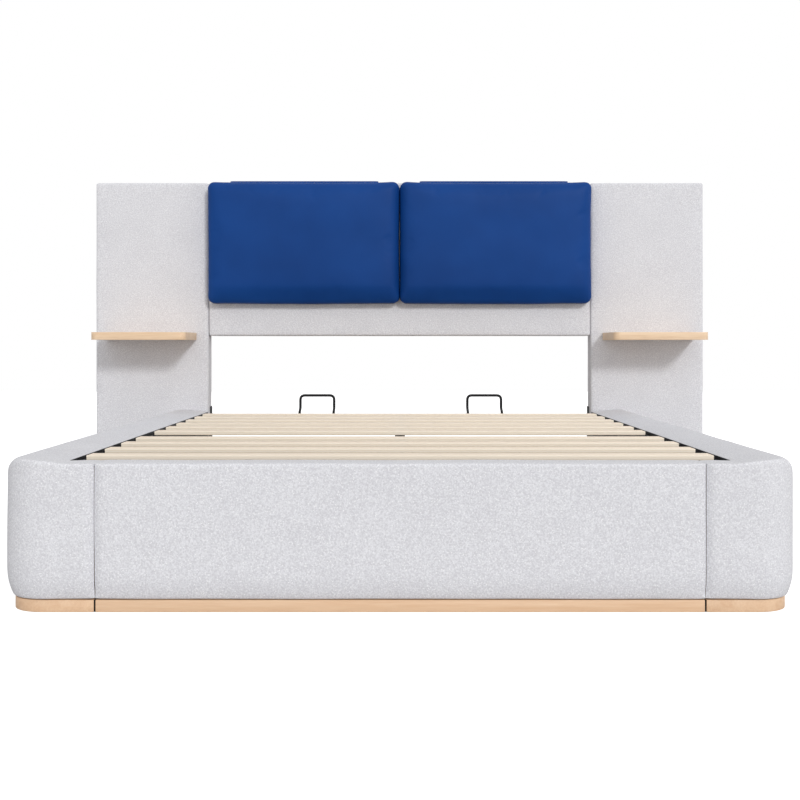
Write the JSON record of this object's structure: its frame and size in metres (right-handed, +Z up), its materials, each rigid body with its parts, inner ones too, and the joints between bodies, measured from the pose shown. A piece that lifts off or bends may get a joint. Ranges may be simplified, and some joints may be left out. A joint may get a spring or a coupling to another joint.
{
  "type": "upholstered platform bed",
  "caption": "Upholstered platform bed with rounded rails, a wide headboard with shelves and hanging back cushions, and a slatted platform that lifts over a storage space.",
  "frame": {"origin": "on the floor, in the middle of the bed's bounding box seen from above", "axes": "+X to the right seen from the foot of the bed, +Y from the foot towards the headboard, +Z up"},
  "size_m": [2.426, 2.2194, 1.2603],
  "materials": {
    "fabric": "light grey looped upholstery over foam",
    "frame_timber": "raw timber and board",
    "veneer": "light wood veneer, satin",
    "slat_ply": "bare plywood",
    "floor_board": "thin board",
    "lining": "black non-woven cloth",
    "cushion_cover": "smooth blue coated cloth over foam",
    "black_steel": "black powder coat",
    "bright_steel": "zinc plated",
    "black_plastic": "moulded",
    "rubber": "soft pad"
  },
  "bodies": {
    "bed_base": {"side_rail_cover_left": "fabric", "side_rail_cover_right": "fabric", "footboard_cover": "fabric", "wing_cover_left": "fabric", "wing_cover_right": "fabric", "center_panel_cover": "fabric", "side_rail_core_left": "frame_timber", "side_rail_core_right": "frame_timber", "footboard_core": "frame_timber", "wing_core_left": "frame_timber", "wing_core_right": "frame_timber", "center_panel_core": "frame_timber", "head_rail": "frame_timber", "floor_battens": "frame_timber", "floor_beams": "frame_timber", "plinth_left": "veneer", "plinth_right": "veneer", "plinth_foot": "veneer", "shelf_left": "veneer", "shelf_right": "veneer", "floor_panels": "floor_board", "rail_lining_left": "lining", "rail_lining_right": "lining", "foot_lining": "lining", "headboard_back_cloth": "lining", "lift_base_plate_left": "black_steel", "lift_base_plate_right": "black_steel", "rest_brackets": "black_steel", "head_rail_brackets": "black_steel", "headboard_bolts": "bright_steel", "panel_bolts": "bright_steel", "frame_bolts": "bright_steel", "corner_brackets": "bright_steel", "shelf_bracket_left": "bright_steel", "shelf_bracket_right": "bright_steel", "feet": "black_plastic", "rest_pads": "rubber"},
    "rear_links": {"rear_link_left": "black_steel", "rear_link_right": "black_steel"},
    "platform": {"upper_bar_left": "black_steel", "upper_bar_right": "black_steel", "platform_side_tubes": "black_steel", "platform_cross_tubes": "black_steel", "platform_centre_tubes": "black_steel", "frame_joint_bolts": "bright_steel", "slats_foot": "slat_ply", "slats_head": "slat_ply", "slat_holders": "black_plastic", "retainer_left": "black_steel", "retainer_right": "black_steel"},
    "front_links": {"front_link_left": "black_steel", "front_link_right": "black_steel"},
    "gas_cylinders": {"gas_cylinder_left": "black_steel", "gas_cylinder_right": "black_steel"},
    "gas_rods": {"gas_rod_left": "bright_steel", "gas_rod_right": "bright_steel"},
    "cushion_left": {"cushion_left": "cushion_cover", "cushion_flap_left": "cushion_cover"},
    "cushion_right": {"cushion_right": "cushion_cover", "cushion_flap_right": "cushion_cover"}
  },
  "joints": [
    {"name": "lift", "type": "hinge", "parent": "bed_base", "child": "rear_links", "pos_m": [0, 0.37235, 0.2165], "axis": [1, 0, 0], "range_deg": [0, 69.7]},
    {"name": "platform_tilt", "type": "hinge", "parent": "rear_links", "child": "platform", "pos_m": [0, 0.71113, 0.27016], "axis": [-1, 0, 0], "range_deg": [0, 107.8]},
    {"name": "front_link_swing", "type": "hinge", "parent": "bed_base", "child": "front_links", "pos_m": [0, 0.16489, 0.21719], "axis": [1, 0, 0], "range_deg": [0, 59.2]},
    {"name": "strut_swing", "type": "hinge", "parent": "bed_base", "child": "gas_cylinders", "pos_m": [0, 0.56035, 0.13], "axis": [1, 0, 0], "range_deg": [0, 70.5]},
    {"name": "strut_stroke", "type": "slide", "parent": "gas_cylinders", "child": "gas_rods", "axis": [0, 0.8797, 0.4755], "range_m": [0, 0.0903]},
    {"name": "cushion_left_lift", "type": "slide", "parent": "bed_base", "child": "cushion_left", "axis": [0, 0, 1], "range_m": [0, 0.35]},
    {"name": "cushion_right_lift", "type": "slide", "parent": "bed_base", "child": "cushion_right", "axis": [0, 0, 1], "range_m": [0, 0.35]}
  ],
  "couplings": [
    {"joint": "platform_tilt", "follows": "lift", "ratio": 1.5452},
    {"joint": "front_link_swing", "follows": "lift", "ratio": 0.84828},
    {"joint": "strut_swing", "follows": "lift", "ratio": 1.0109},
    {"joint": "strut_stroke", "follows": "lift", "m_per_rad": 0.074143}
  ]
}
